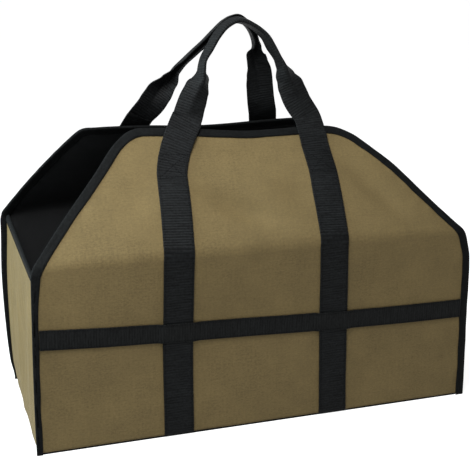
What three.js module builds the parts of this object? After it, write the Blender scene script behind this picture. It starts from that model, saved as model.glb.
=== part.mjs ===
// A canvas log carrier: two six-sided panels whose top flaps lean towards each other, a strip of
// canvas that makes both ends and the base, tape folded over the edges, and two lengths of webbing
// that run up the panels and over the top as handles.
// Millimetres. +X runs along the carrier's width, the front panel faces -Y, +Z is up, and the origin
// is on the floor below the middle.
import * as THREE from "three";

// Driving sizes of the bag
const carrierWidth = 600;
const bodyDepth = 258;
const frontShoulderHeight = 238;
const backShoulderHeight = 250;
const panelHeight = 411;
const flapTopInset = 97;
const flapTopWidth = 314;
const foldRadius = 40;
const foldRise = 7;
const shoulderRadius = 28;
const topCornerRadius = 38;
const softCornerRadius = 62;
const sharpCornerRadius = 22;
const outlineSway = 20;
const topSag = 6;
const clothThickness = 1.5;
const bellyDepth = 9;
const flapPuff = 5;
const dentDepth = 5;
const seamInsetAtShoulder = 5;
const backSeamInset = 9;
const seamInsetAtFloor = 1;
const endTopDrop = 12;
const floorCornerRadius = 4;
const creaseDepth = 4;
const frontFlapSkew = 4;
const backFlapSkew = 28;
const frontTopDrop = 6;
const frontBandDrop = 10.8;

// Driving sizes of the tape and the webbing
const tapeThickness = 1;
const bindingWidth = 12;
const endBindingWidth = 9;
const webbingWidth = 39.5;
const webbingThickness = 1.8;
const strapSpacing = 215;
const strapShift = 7.7;
const bandWidth = 26;
const bandThickness = 1.5;
const bandHeight = 141;
const bandSag = 4;
const handleRise = 142;
const gripTipGap = 0.6;
const clearOfFlap = 12;

// Clearances between sewn pieces
const sewnGap = 0.3;
const layerGap = 0.5;

// What follows from the sizes
const hemHeight = 2 * tapeThickness + 2 * sewnGap;
const edgeAllowance = tapeThickness + sewnGap;
const panelHalfWidth = carrierWidth / 2 - edgeAllowance;
const tapeInside = clothThickness / 2 + layerGap;
const tapeOutside = tapeInside + tapeThickness;
const innerFace = bodyDepth / 2 - clothThickness / 2 - tapeOutside - sewnGap;

// The colours and finishes
const canvas = new THREE.MeshStandardMaterial({ color: 0x76683f, roughness: 0.85, metalness: 0 });
const tape = new THREE.MeshStandardMaterial({ color: 0x17181a, roughness: 0.7, metalness: 0 });
const webbing = new THREE.MeshStandardMaterial({ color: 0x1e2022, roughness: 0.65, metalness: 0 });

// What differs between the two sides. A side is drawn as seen from outside it, so the back is the
// same drawing turned half round. The tables of webbing have shares of half the strap spacing
// across, of the flap top's distance from the middle in depth, and of the handle's rise in height.
// The table of edges says how far the outline sways out, as a share, from the hem at 0 over the
// shoulder at 1 to the top edge at 2.
const frontSide = {
  name: "front",
  shoulder: frontShoulderHeight,
  skew: frontFlapSkew,
  topDrop: frontTopDrop,
  bandDrop: frontBandDrop,
  corners: { left: topCornerRadius, right: softCornerRadius },
  edges: [
    { up: 0, left: 0.05, right: 0.09 },
    { up: 0.2, left: 0.05, right: 0.08 },
    { up: 0.5, left: 0, right: 0.02 },
    { up: 0.85, left: -0.1, right: -0.03 },
    { up: 1, left: -0.13, right: -0.38 },
    { up: 1.3, left: 0.02, right: -0.43 },
    { up: 1.65, left: 0.06, right: -0.3 },
    { up: 1.85, left: 0.16, right: -0.64 },
    { up: 2, left: -0.04, right: -0.86 },
  ],
  strapShift: -strapShift,
  straps: [
    { foot: -1.02, fold: -1.01, knee: -0.955, top: -0.72 },
    { foot: 0.985, fold: 0.925, knee: 0.955, top: 0.92 },
  ],
  handle: [
    { across: -0.61, depth: 0.86, rise: 0.25, fold: 0.28 },
    { across: -0.53, depth: 0.8, rise: 0.37, fold: 0.45 },
    { across: -0.46, depth: 0.74, rise: 0.46, fold: 0.7 },
    { across: -0.46, depth: 0.68, rise: 0.55, fold: 0.92 },
    { across: -0.44, depth: 0.62, rise: 0.63, fold: 0.97 },
    { across: -0.35, depth: 0.55, rise: 0.73, fold: 0.93 },
    { across: -0.25, depth: 0.46, rise: 0.84, fold: 0.92 },
    { across: -0.13, depth: 0.38, rise: 0.93, fold: 0.92 },
    { across: 0.03, depth: 0.33, rise: 0.98, fold: 0.92 },
    { across: 0.2, depth: 0.4, rise: 0.94, fold: 0.92 },
    { across: 0.37, depth: 0.5, rise: 0.84, fold: 0.88 },
    { across: 0.45, depth: 0.58, rise: 0.74, fold: 0.85 },
    { across: 0.52, depth: 0.64, rise: 0.64, fold: 0.94 },
    { across: 0.58, depth: 0.69, rise: 0.56, fold: 0.9 },
    { across: 0.63, depth: 0.74, rise: 0.46, fold: 0.62 },
    { across: 0.69, depth: 0.8, rise: 0.36, fold: 0.28 },
    { across: 0.76, depth: 0.86, rise: 0.23, fold: 0.08 },
  ],
  dents: [
    { across: 0.56, up: 0.42, wide: 0.22, tall: 0.2, turn: -40, depth: 0.7 },
    { across: -0.1, up: 0.4, wide: 0.2, tall: 0.22, turn: -30, depth: 0.5 },
    { across: -0.55, up: 0.5, wide: 0.2, tall: 0.2, turn: 30, depth: 0.4 },
    { across: 0.55, up: -0.76, wide: 0.2, tall: 0.18, turn: 22, depth: 0.4 },
    { across: -0.72, up: -0.75, wide: 0.2, tall: 0.18, turn: 35, depth: 0.4 },
  ],
};
const backSide = {
  name: "back",
  shoulder: backShoulderHeight,
  skew: backFlapSkew,
  topDrop: 0,
  bandDrop: 0,
  corners: { left: topCornerRadius, right: sharpCornerRadius },
  edges: [
    { up: 0, left: -0.05, right: -0.12 },
    { up: 0.12, left: 0, right: 0.13 },
    { up: 0.35, left: 0.1, right: 0.31 },
    { up: 0.65, left: 0.12, right: 0.38 },
    { up: 0.95, left: 0.05, right: 0.25 },
    { up: 1.3, left: 0, right: 0.37 },
    { up: 1.65, left: 0, right: 0.56 },
    { up: 2, left: 0, right: 0.79 },
  ],
  strapShift: strapShift,
  straps: [
    { foot: -1, fold: -0.97, knee: -0.95, top: -0.86 },
    { foot: 1, fold: 0.98, knee: 0.97, top: 0.84 },
  ],
  handle: [
    { across: -0.46, depth: 0.86, rise: 0.2, fold: 0.05 },
    { across: -0.43, depth: 0.79, rise: 0.36, fold: 0.12 },
    { across: -0.41, depth: 0.73, rise: 0.48, fold: 0.25 },
    { across: -0.37, depth: 0.67, rise: 0.59, fold: 0.48 },
    { across: -0.34, depth: 0.61, rise: 0.67, fold: 0.55 },
    { across: -0.35, depth: 0.56, rise: 0.74, fold: 0.88 },
    { across: -0.33, depth: 0.51, rise: 0.81, fold: 0.97 },
    { across: -0.27, depth: 0.43, rise: 0.9, fold: 0.95 },
    { across: -0.18, depth: 0.37, rise: 0.97, fold: 0.93 },
    { across: -0.06, depth: 0.33, rise: 1.02, fold: 0.92 },
    { across: 0.07, depth: 0.38, rise: 0.98, fold: 0.92 },
    { across: 0.2, depth: 0.47, rise: 0.89, fold: 0.92 },
    { across: 0.33, depth: 0.55, rise: 0.79, fold: 0.92 },
    { across: 0.45, depth: 0.61, rise: 0.71, fold: 0.93 },
    { across: 0.58, depth: 0.67, rise: 0.62, fold: 0.95 },
    { across: 0.69, depth: 0.72, rise: 0.54, fold: 0.88 },
    { across: 0.78, depth: 0.77, rise: 0.44, fold: 0.62 },
    { across: 0.91, depth: 0.82, rise: 0.32, fold: 0.27 },
    { across: 1, depth: 0.87, rise: 0.22, fold: 0.1 },
  ],
  dents: [
    { across: -0.6, up: 0.38, wide: 0.2, tall: 0.2, turn: -28, depth: 0.7 },
    { across: 0.66, up: 0.36, wide: 0.2, tall: 0.2, turn: 34, depth: 0.7 },
    { across: 0.04, up: 0.5, wide: 0.18, tall: 0.3, turn: -8, depth: 0.4 },
  ],
};

// The end panels' creases: shares of the depth and of the height, and how deep each one is
const endCreases = [
  { along: -0.62, wide: 0.16, middle: 0.45, tall: 0.34, depth: 0.8 },
  { along: -0.22, wide: 0.16, middle: 0.6, tall: 0.3, depth: -0.7 },
  { along: 0.16, wide: 0.16, middle: 0.4, tall: 0.36, depth: 0.9 },
  { along: 0.6, wide: 0.16, middle: 0.5, tall: 0.32, depth: -0.7 },
];

// Small helpers
const mix = THREE.MathUtils.lerp;
const clamp = THREE.MathUtils.clamp;

function evenly(count, make) {
  return Array.from({ length: count + 1 }, (_, i) => make(i / count));
}

// A smooth line through the rows of a table, by the column with the rows' places
function through(rows, column, at) {
  const slopeOf = (i) => {
    if (i === 0 || i === rows.length - 1) {
      return 0;
    }
    const rise = rows[i + 1][column] - rows[i - 1][column];
    return rise / (rows[i + 1].up - rows[i - 1].up);
  };
  const found = rows.findIndex((row, i) => i > 0 && at < row.up);
  const i = found < 0 ? rows.length - 2 : found - 1;
  const width = rows[i + 1].up - rows[i].up;
  const share = clamp((at - rows[i].up) / width, 0, 1);
  const [low, high] = [rows[i][column], rows[i + 1][column]];
  const [start, end] = [slopeOf(i) * width, slopeOf(i + 1) * width];
  const bend = 3 * (high - low) - 2 * start - end;
  return low + share * (start + share * (bend + share * (start + end - 2 * (high - low))));
}

function named(name, geometry, material) {
  const mesh = new THREE.Mesh(geometry, material);
  mesh.name = name;
  return mesh;
}

// A closed body from rings of points: each ring is a closed loop, and the first and last are capped
function loftRings(rings) {
  const size = rings[0].length;
  const positions = rings.flat().flatMap((point) => point.toArray());
  const faces = [];
  for (let ring = 0; ring + 1 < rings.length; ring += 1) {
    for (let i = 0; i < size; i += 1) {
      const next = (i + 1) % size;
      const a = ring * size + i;
      const b = ring * size + next;
      const c = a + size;
      const d = b + size;
      faces.push(a, b, d, a, d, c);
    }
  }
  const last = (rings.length - 1) * size;
  for (const [first, flip] of [[0, true], [last, false]]) {
    const flat = flattened(rings[first / size]);
    for (const [i, j, k] of THREE.ShapeUtils.triangulateShape(flat, [])) {
      const turned = flip ? [i, k, j] : [i, j, k];
      faces.push(...turned.map((corner) => first + corner));
    }
  }
  const geometry = new THREE.BufferGeometry();
  geometry.setAttribute("position", new THREE.Float32BufferAttribute(positions, 3));
  geometry.setIndex(faces);
  return facingOut(geometry);
}

// A ring of points laid flat in the plane that fits it
function flattened(ring) {
  const middle = ring.reduce((sum, point) => sum.add(point), new THREE.Vector3()).divideScalar(ring.length);
  const normal = new THREE.Vector3();
  ring.forEach((point, i) => {
    const next = ring[(i + 1) % ring.length];
    const here = point.clone().sub(middle);
    normal.add(here.cross(next.clone().sub(middle)));
  });
  normal.normalize();
  const right = ring[1].clone().sub(ring[0]).projectOnPlane(normal).normalize();
  const up = normal.clone().cross(right);
  return ring.map((point) => {
    const offset = point.clone().sub(middle);
    return new THREE.Vector2(offset.dot(right), offset.dot(up));
  });
}

// Turns a closed body's faces over if they point in
function facingOut(geometry) {
  const position = geometry.getAttribute("position");
  const index = geometry.getIndex().array;
  const [a, b, c] = [new THREE.Vector3(), new THREE.Vector3(), new THREE.Vector3()];
  let volume = 0;
  for (let i = 0; i < index.length; i += 3) {
    a.fromBufferAttribute(position, index[i]);
    b.fromBufferAttribute(position, index[i + 1]);
    c.fromBufferAttribute(position, index[i + 2]);
    volume += a.dot(b.cross(c));
  }
  if (volume < 0) {
    for (let i = 0; i < index.length; i += 3) {
      [index[i + 1], index[i + 2]] = [index[i + 2], index[i + 1]];
    }
  }
  geometry.computeVertexNormals();
  return geometry;
}

// A closed sheet of cloth from two equal grids of points, its two faces
function sheetBetween(outer, inner) {
  const rows = outer.length;
  const columns = outer[0].length;
  const positions = [...outer.flat(), ...inner.flat()].flatMap((point) => point.toArray());
  const faces = [];
  const under = rows * columns;
  const at = (row, column) => row * columns + column;
  for (let row = 0; row + 1 < rows; row += 1) {
    for (let column = 0; column + 1 < columns; column += 1) {
      const a = at(row, column);
      const b = at(row, column + 1);
      const c = at(row + 1, column + 1);
      const d = at(row + 1, column);
      faces.push(a, b, c, a, c, d);
      faces.push(under + a, under + c, under + b, under + a, under + d, under + c);
    }
  }
  const rim = [
    ...evenly(columns - 1, (share) => at(0, Math.round(share * (columns - 1)))),
    ...evenly(rows - 1, (share) => at(Math.round(share * (rows - 1)), columns - 1)).slice(1),
    ...evenly(columns - 1, (share) => at(rows - 1, Math.round((1 - share) * (columns - 1)))).slice(1),
    ...evenly(rows - 1, (share) => at(Math.round((1 - share) * (rows - 1)), 0)).slice(1, -1),
  ];
  rim.forEach((here, i) => {
    const next = rim[(i + 1) % rim.length];
    faces.push(here, under + here, under + next, here, under + next, next);
  });
  const geometry = new THREE.BufferGeometry();
  geometry.setAttribute("position", new THREE.Float32BufferAttribute(positions, 3));
  geometry.setIndex(faces);
  return facingOut(geometry);
}

// A side's flap: its length above the fold, and how far it leans from upright to bring its top edge
// in by the stated inset
function flapOf(side) {
  const length = panelHeight - side.shoulder;
  return { length, lean: Math.asin(flapTopInset / length) };
}

// The bent line of a side from hem to flap: upright, an arc at the fold, then straight and leaning.
// run is measured up the cloth from the hem. The shoulder is halfway round the arc. Where the cloth
// folds higher up, rise says by how much.
function profileAt(side, run, rise = 0) {
  const flapLean = flapOf(side).lean;
  const arcHalf = (foldRadius * flapLean) / 2;
  const foldStart = side.shoulder - hemHeight - arcHalf + rise;
  const past = run - foldStart;
  if (past <= 0) {
    return { lean: 0, inward: 0, height: hemHeight + run };
  }
  const lean = Math.min(past / foldRadius, flapLean);
  const straight = Math.max(past - 2 * arcHalf, 0);
  return {
    lean,
    inward: foldRadius * (1 - Math.cos(lean)) + straight * Math.sin(lean),
    height: hemHeight + foldStart + foldRadius * Math.sin(lean) + straight * Math.cos(lean),
  };
}

// The side's outline in the flat cloth: its widths from the middle to the left edge, hand -1, and
// to the right edge, hand 1, at a run, with its corners rounded
function outlineOf(side) {
  const shoulder = side.shoulder - hemHeight;
  const flapLength = flapOf(side).length;
  const top = shoulder + flapLength;
  const slant = Math.atan2(panelHalfWidth - flapTopWidth / 2, flapLength);
  const shoulderTangent = shoulderRadius * Math.tan(slant / 2);
  const topCornerOf = (hand) => {
    const radius = hand < 0 ? side.corners.left : side.corners.right;
    const tangent = radius * Math.tan((Math.PI / 2 - slant) / 2);
    return { radius, flat: flapTopWidth / 2 - tangent, start: top - tangent * Math.cos(slant) };
  };
  const roundedAt = (run, hand) => {
    if (run <= shoulder - shoulderTangent) {
      return panelHalfWidth;
    }
    if (run < shoulder + shoulderTangent * Math.cos(slant)) {
      const climb = run - (shoulder - shoulderTangent);
      return panelHalfWidth - shoulderRadius + Math.sqrt(shoulderRadius ** 2 - climb ** 2);
    }
    const corner = topCornerOf(hand);
    if (run <= corner.start) {
      return panelHalfWidth - (run - shoulder) * Math.tan(slant);
    }
    const below = clamp(run - (top - corner.radius), 0, corner.radius);
    return corner.flat + Math.sqrt(corner.radius ** 2 - below ** 2);
  };
  const halfWidthAt = (run, hand) => {
    const up = clamp(run / shoulder, 0, 1) + clamp((run - shoulder) / flapLength, 0, 1);
    return roundedAt(run, hand) + outlineSway * through(side.edges, hand < 0 ? "left" : "right", up);
  };
  return { shoulder, top, flapLength, topCornerOf, halfWidthAt };
}

// The runs at which a side has a row of corners: close together round the fold and the corners
function rowsOf(side) {
  const outline = outlineOf(side);
  const foldReach = (foldRadius * flapOf(side).lean) / 2;
  const lowerRows = 7;
  const foldRows = 7;
  const flapRows = 6;
  const cornerRows = 5;
  const foldStart = outline.shoulder - foldReach;
  const foldEnd = outline.shoulder + foldRise + foldReach;
  const widest = [-1, 1].map(outline.topCornerOf).reduce((a, b) => (a.radius > b.radius ? a : b));
  const startAngle = Math.asin((widest.start - (outline.top - widest.radius)) / widest.radius);
  return [
    ...evenly(lowerRows, (share) => mix(0, foldStart, share)),
    ...evenly(foldRows, (share) => mix(foldStart, foldEnd, share)).slice(1),
    ...evenly(flapRows, (share) => mix(foldEnd, widest.start, share)).slice(1),
    ...evenly(cornerRows, (share) => {
      const angle = mix(startAngle, Math.PI / 2, share);
      return outline.top - widest.radius + widest.radius * Math.sin(angle);
    }).slice(1),
  ];
}

// How near a point is to the edge on its side: 0 in the middle and 1 at the edge
function edgeShare(outline, across, run) {
  const halfWidth = outline.halfWidthAt(clamp(run, 0, outline.top), across < 0 ? -1 : 1);
  return clamp(Math.abs(across) / halfWidth, 0, 1);
}

// How far the cloth stands out from the bent line: the belly, the flap's puff and the dents
function bulgeAt(side, across, run) {
  const outline = outlineOf(side);
  const flapLength = outline.flapLength;
  const edgeFade = 1 - edgeShare(outline, across, run) ** 3;
  const lower = clamp(run / outline.shoulder, 0, 1);
  const upper = clamp((run - outline.shoulder) / flapLength, 0, 1);
  const bellyFade = 1 - THREE.MathUtils.smoothstep(upper, 0, 0.8);
  let bulge = bellyDepth * edgeFade * lower ** 1.7 * bellyFade;
  bulge += flapPuff * edgeFade * Math.sin(Math.PI * upper) ** 2;
  for (const dent of side.dents) {
    const span = dent.up > 0 ? flapLength : outline.shoulder;
    const turn = THREE.MathUtils.degToRad(dent.turn);
    const right = across - dent.across * panelHalfWidth;
    const up = run - outline.shoulder - dent.up * span;
    const long = (right * Math.cos(turn) + up * Math.sin(turn)) / (dent.wide * panelHalfWidth);
    const short = (up * Math.cos(turn) - right * Math.sin(turn)) / (dent.tall * span);
    bulge -= dentDepth * dent.depth * edgeFade * Math.exp(-(long ** 2) - short ** 2);
  }
  return bulge;
}

// A point of the cloth's middle layer. The flap leans to one side by its skew, and its top edge
// runs slightly downhill by its drop and sags between the straps.
function clothPoint(side, across, run) {
  const outline = outlineOf(side);
  const flapShare = Math.max((run - outline.shoulder) / outline.flapLength, 0);
  const sideways = side.skew * Math.sin((Math.PI / 2) * Math.min(flapShare, 1));
  const sag = topSag * Math.min(flapShare, 1) ** 3 * Math.exp(-((across / (strapSpacing / 3)) ** 2));
  const dropped = run - (side.topDrop * flapShare * across) / (flapTopWidth / 2) - sag;
  const rise = foldRise * (1 - Math.min(Math.abs(across) / panelHalfWidth, 1) ** 6);
  const { lean, inward, height } = profileAt(side, dropped, rise);
  const bulge = bulgeAt(side, across, run);
  return new THREE.Vector3(
    across + sideways,
    -bodyDepth / 2 + clothThickness / 2 + inward - bulge * Math.cos(lean),
    height + bulge * Math.sin(lean),
  );
}

// The way the cloth faces, outwards
function clothNormal(side, across, run) {
  const step = 0.5;
  const right = clothPoint(side, across + step, run).sub(clothPoint(side, across - step, run));
  const up = clothPoint(side, across, run + step).sub(clothPoint(side, across, run - step));
  return right.cross(up).normalize();
}

// A point that lies a given distance outside the cloth's middle layer
function overCloth(side, across, run, outside) {
  return clothPoint(side, across, run).addScaledVector(clothNormal(side, across, run), outside);
}

// The panel: rows from hem to top edge, with a column where the binding's tape ends
function makePanel(side) {
  const outline = outlineOf(side);
  const innerColumns = 15;
  const rows = rowsOf(side).map((run) => {
    const [left, right] = [-1, 1].map((hand) => outline.halfWidthAt(run, hand));
    const underTape = bindingWidth - edgeAllowance;
    const inner = evenly(innerColumns, (share) => mix(underTape - left, right - underTape, share));
    const columns = [-left, ...inner, right];
    return columns.map((across) => [across, run]);
  });
  const faceAt = (outside) => rows.map((row) => {
    return row.map(([across, run]) => overCloth(side, across, run, outside));
  });
  const geometry = sheetBetween(faceAt(clothThickness / 2), faceAt(-clothThickness / 2));
  return named(`${side.name}_panel`, geometry, canvas);
}

// The folded tape's outline: how far in from the cloth's edge, and how far out from its middle
function tapeSection(width) {
  return [
    [width - edgeAllowance, tapeOutside],
    [-edgeAllowance, tapeOutside],
    [-edgeAllowance, -tapeOutside],
    [width - edgeAllowance, -tapeOutside],
    [width - edgeAllowance, -tapeInside],
    [-sewnGap, -tapeInside],
    [-sewnGap, tapeInside],
    [width - edgeAllowance, tapeInside],
  ];
}

// The tape folded over a panel's edge, from the hem up one side, over the flap and down again
function makeEdgeBinding(side) {
  const outline = outlineOf(side);
  const topSteps = 12;
  const [leftEdge, rightEdge] = [-1, 1].map((hand) => rowsOf(side).map((run) => {
    return new THREE.Vector2(hand * outline.halfWidthAt(run, hand), run);
  }));
  const [topLeft, topRight] = [leftEdge, rightEdge].map((points) => points[points.length - 1]);
  const topEdge = evenly(topSteps, (share) => topRight.clone().lerp(topLeft, share)).slice(1, -1);
  leftEdge.reverse();
  const edge = [...rightEdge, ...topEdge, ...leftEdge];
  edge[0].y -= hemHeight;
  edge[edge.length - 1].y -= hemHeight;
  const rings = edge.map((point, i) => {
    const before = edge[Math.max(i - 1, 0)];
    const after = edge[Math.min(i + 1, edge.length - 1)];
    const along = after.clone().sub(before).normalize();
    return tapeSection(bindingWidth).map(([inside, outside]) => {
      return overCloth(side, point.x - along.y * inside, point.y + along.x * inside, outside);
    });
  });
  return named(`${side.name}_edge_binding`, loftRings(rings), tape);
}

// How far from the middle a piece between the two side tapes ends, at a run up the cloth
function betweenTapes(side, run, hand) {
  return outlineOf(side).halfWidthAt(run, hand) + edgeAllowance - bindingWidth - sewnGap;
}

// The panel's lowest tape, turned under the base, between the side tapes
function makeHemBinding(side) {
  const [left, right] = [-1, 1].map((hand) => betweenTapes(side, 0, hand));
  const geometry = new THREE.BoxGeometry(left + right, bindingWidth, hemHeight - sewnGap);
  const mesh = named(`${side.name}_hem_binding`, geometry, tape);
  mesh.position.set((right - left) / 2, -bodyDepth / 2 + bindingWidth / 2, (hemHeight - sewnGap) / 2);
  return mesh;
}

// Where a strap's middle is at a run up the cloth
function strapMiddle(side, strap, run) {
  const outline = outlineOf(side);
  const kneeShare = 0.6;
  const bend = 1.5;
  const low = clamp(run / outline.shoulder, 0, 1) ** 2;
  const climb = Math.max((run - outline.shoulder) / outline.flapLength, 0);
  const kneeClimb = Math.min(climb / kneeShare, 1);
  const lastClimb = Math.max((climb - kneeShare) / (1 - kneeShare), 0);
  const lower = mix(strap.foot, strap.fold, low) + (strap.knee - strap.fold) * kneeClimb;
  const upper = (strap.top - strap.knee) * lastClimb ** bend;
  return side.strapShift + (strapSpacing / 2) * (lower + upper);
}

// How far over the cloth's middle layer the webbing's middle lies: it steps over the top binding
function strapStandoff(side, run) {
  const outline = outlineOf(side);
  const stepLength = 14;
  const stepMargin = 3;
  const plain = tapeInside + webbingThickness / 2;
  const raised = tapeOutside + layerGap + webbingThickness / 2;
  const climb = (run - (outline.top - bindingWidth - stepMargin - stepLength)) / stepLength;
  return mix(plain, raised, clamp(climb, 0, 1));
}

// The webbing's outline across its width: four corners outside, four inside. fold runs from 0,
// flat, to 1, folded in half along its middle. spineHalf is half the fold's round back.
function webbingSection(fold) {
  const angle = (fold * Math.PI) / 2;
  const half = webbingWidth / 2;
  const spineHalf = (webbingThickness + gripTipGap) / 2;
  const leg = half - spineHalf;
  const corner = [spineHalf, 0];
  const tip = [spineHalf + leg * Math.cos(angle), -leg * Math.sin(angle)];
  const normalLeg = [Math.sin(angle), Math.cos(angle)];
  const mitre = Math.tan(angle / 2);
  const middleShift = (leg * Math.sin(angle)) / 2;
  const side = (sign, outside) => {
    const tipPoint = [tip[0] + normalLeg[0] * outside, tip[1] + normalLeg[1] * outside];
    const cornerPoint = [corner[0] + outside * mitre, outside];
    return { tip: [sign * tipPoint[0], tipPoint[1]], corner: [sign * cornerPoint[0], cornerPoint[1]] };
  };
  const out = webbingThickness / 2;
  const outline = [
    side(-1, out).tip, side(-1, out).corner, side(1, out).corner, side(1, out).tip,
    side(1, -out).tip, side(1, -out).corner, side(-1, -out).corner, side(-1, -out).tip,
  ];
  return outline.map(([across, outside]) => [across, outside + middleShift]);
}

// The rings of a strap on the cloth, from the hem to past the flap's top edge, where the webbing
// stays in the flap's plane until its whole width is clear. facing is 1 where the webbing runs up
// and -1 where it comes down, because its left and right swap at the top.
function strapRings(side, strap, facing) {
  const section = webbingSection(0);
  const step = 0.5;
  const pastTop = evenly(2, (share) => outlineOf(side).top + share * clearOfFlap).slice(1);
  return [...rowsOf(side), ...pastTop].map((run) => {
    const middle = strapMiddle(side, strap, run);
    const drift = (strapMiddle(side, strap, run + step) - strapMiddle(side, strap, run - step)) / (2 * step);
    const tilt = Math.atan(drift);
    return section.map(([across, outside]) => {
      const right = middle + facing * across * Math.cos(tilt);
      const up = run - facing * across * Math.sin(tilt);
      return overCloth(side, right, Math.max(up, 0), strapStandoff(side, run) + outside);
    });
  });
}

// The webbing's rings along the handle, between the places where the two straps leave the flap.
// They start in the flap's plane and turn upright.
function handleRings(side) {
  const outline = outlineOf(side);
  const { inward, height: topHeight } = profileAt(side, outline.top);
  const reach = bodyDepth / 2 - inward;
  const onFlap = (strap, past) => {
    const run = outline.top + past;
    return overCloth(side, strapMiddle(side, strap, run), run, strapStandoff(side, run));
  };
  const free = side.handle.map(({ across, depth, rise }) => {
    return new THREE.Vector3((across * strapSpacing) / 2, -depth * reach, topHeight + rise * handleRise);
  });
  const [up, down] = side.straps;
  const leaving = [onFlap(up, 0), onFlap(up, clearOfFlap)];
  const landing = [onFlap(down, clearOfFlap), onFlap(down, 0)];
  const route = [...leaving, ...free, ...landing];
  const folds = [0, 0, ...side.handle.map(({ fold }) => fold), 0, 0];
  const last = route.length - 1;
  const uprightAfter = 2;
  const flapShareAt = (place) => {
    const passed = Math.min(place, last - place) - 1;
    return clamp(1 - passed / uprightAfter, 0, 1);
  };
  const flapNormal = clothNormal(side, 0, outline.top);
  const front = new THREE.Vector3(0, -1, 0);
  const curve = new THREE.CatmullRomCurve3(route, false, "centripetal");
  const stepsPerSpan = 2;
  return evenly((last - 2) * stepsPerSpan, (share) => {
    const place = mix(1, last - 1, share);
    const span = Math.min(Math.floor(place), last - 1);
    const fold = mix(folds[span], folds[span + 1], place - span);
    const centre = curve.getPoint(place / last);
    const along = curve.getTangent(place / last);
    const facing = front.clone().lerp(flapNormal, flapShareAt(place));
    const outward = facing.projectOnPlane(along).normalize();
    const right = along.clone().cross(outward);
    return webbingSection(fold).map(([across, outside]) => {
      return centre.clone().addScaledVector(right, across).addScaledVector(outward, outside);
    });
  }).slice(1, -1);
}

// One length of webbing: up one strap, over as the handle, and down the other
function makeCarryStrap(side) {
  const [up, down] = side.straps;
  const rings = [
    ...strapRings(side, up, 1),
    ...handleRings(side),
    ...strapRings(side, down, -1).reverse(),
  ];
  return named(`${side.name}_carry_strap`, loftRings(rings), webbing);
}

// The band across a panel, which lies on the cloth and steps over both straps
function makeBand(side) {
  const rampLength = 9;
  const bandRuns = [-0.5, 0, 0.5].map((share) => bandHeight - hemHeight + share * (bandWidth + bandSag));
  const endAt = (hand) => Math.min(...bandRuns.map((run) => betweenTapes(side, run, hand)));
  const strapEdge = webbingWidth / 2;
  const longestStep = 24;
  const stops = [-endAt(-1)];
  const raisedAt = [0];
  for (const strap of side.straps) {
    const middle = strapMiddle(side, strap, bandHeight);
    stops.push(middle - strapEdge - rampLength, middle - strapEdge);
    stops.push(middle + strapEdge, middle + strapEdge + rampLength);
    raisedAt.push(0, 1, 1, 0);
  }
  stops.push(endAt(1));
  raisedAt.push(0);
  const stations = [[stops[0], raisedAt[0]]];
  for (let i = 0; i + 1 < stops.length; i += 1) {
    const steps = Math.ceil((stops[i + 1] - stops[i]) / longestStep);
    for (const share of evenly(steps, (part) => part).slice(1)) {
      stations.push([mix(stops[i], stops[i + 1], share), mix(raisedAt[i], raisedAt[i + 1], share)]);
    }
  }
  const low = tapeInside;
  const high = tapeInside + webbingThickness + sewnGap;
  const rings = stations.map(([across, raised]) => {
    const share = across / panelHalfWidth;
    const middle = bandHeight - hemHeight - side.bandDrop * share - bandSag * (1 - share ** 2);
    const inside = mix(low, high, raised);
    const half = bandWidth / 2;
    const outside = inside + bandThickness;
    return [[-half, outside], [half, outside], [half, inside], [-half, inside]].map(([up, over]) => {
      return overCloth(side, across, middle + up, over);
    });
  });
  return named(`${side.name}_band`, loftRings(rings), webbing);
}

// Where the ends and the base have their columns of corners, as shares of half the depth
const depthColumns = [-1, -0.9, -0.8, -0.64, -0.48, -0.32, -0.16, 0, 0.16, 0.32, 0.48, 0.64, 0.8, 0.9, 1];

// The ends and the base are one strip of canvas. Its edges follow the inner faces of the panels.
function endReach(side, height) {
  const run = Math.max(height - hemHeight, 0);
  const { inward, lean } = profileAt(side, run);
  return innerFace - inward - (tapeOutside * (1 - Math.cos(lean))) / Math.cos(lean) - layerGap;
}

function endDepthAt(share, height) {
  return mix(-endReach(frontSide, height), endReach(backSide, height), (share + 1) / 2);
}

function endTopAt(share) {
  return mix(frontShoulderHeight - endTopDrop, backShoulderHeight, (share + 1) / 2) - edgeAllowance;
}

// How far an end stands from the middle: it follows the panels' edges, a little further in towards
// the shoulder, with soft upright creases that die out below its top tape
function endStand(sign, share, height) {
  const climb = clamp(height / Math.max(frontShoulderHeight, backShoulderHeight), 0, 1);
  const run = Math.max(height - hemHeight, 0);
  const towardsBack = (share + 1) / 2;
  const frontEdge = outlineOf(frontSide).halfWidthAt(run, sign);
  const backEdge = outlineOf(backSide).halfWidthAt(run, -sign);
  const seamInset = mix(seamInsetAtShoulder, backSeamInset, towardsBack);
  const inset = mix(seamInsetAtFloor, seamInset, Math.sqrt(climb));
  let crease = 0;
  for (const { along, wide, middle, tall, depth } of endCreases) {
    const fade = Math.exp(-(((climb - middle) / tall) ** 2));
    crease += creaseDepth * depth * fade * Math.exp(-(((share - along) / wide) ** 2));
  }
  crease *= (1 - share ** 4) * (1 - THREE.MathUtils.smoothstep(climb, 0.7, 0.94));
  const edge = mix(frontEdge, backEdge, towardsBack) + edgeAllowance;
  return edge - inset - clothThickness / 2 + crease;
}

// The base lies on the floor and rises over the turned-under tapes along both panels
function floorHeight(share) {
  const tapeShare = 1 - (bindingWidth + layerGap) / innerFace;
  const riseShare = 0.1;
  const rise = THREE.MathUtils.smoothstep(Math.abs(share), tapeShare - riseShare, tapeShare);
  return clothThickness / 2 + hemHeight * rise;
}

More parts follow.
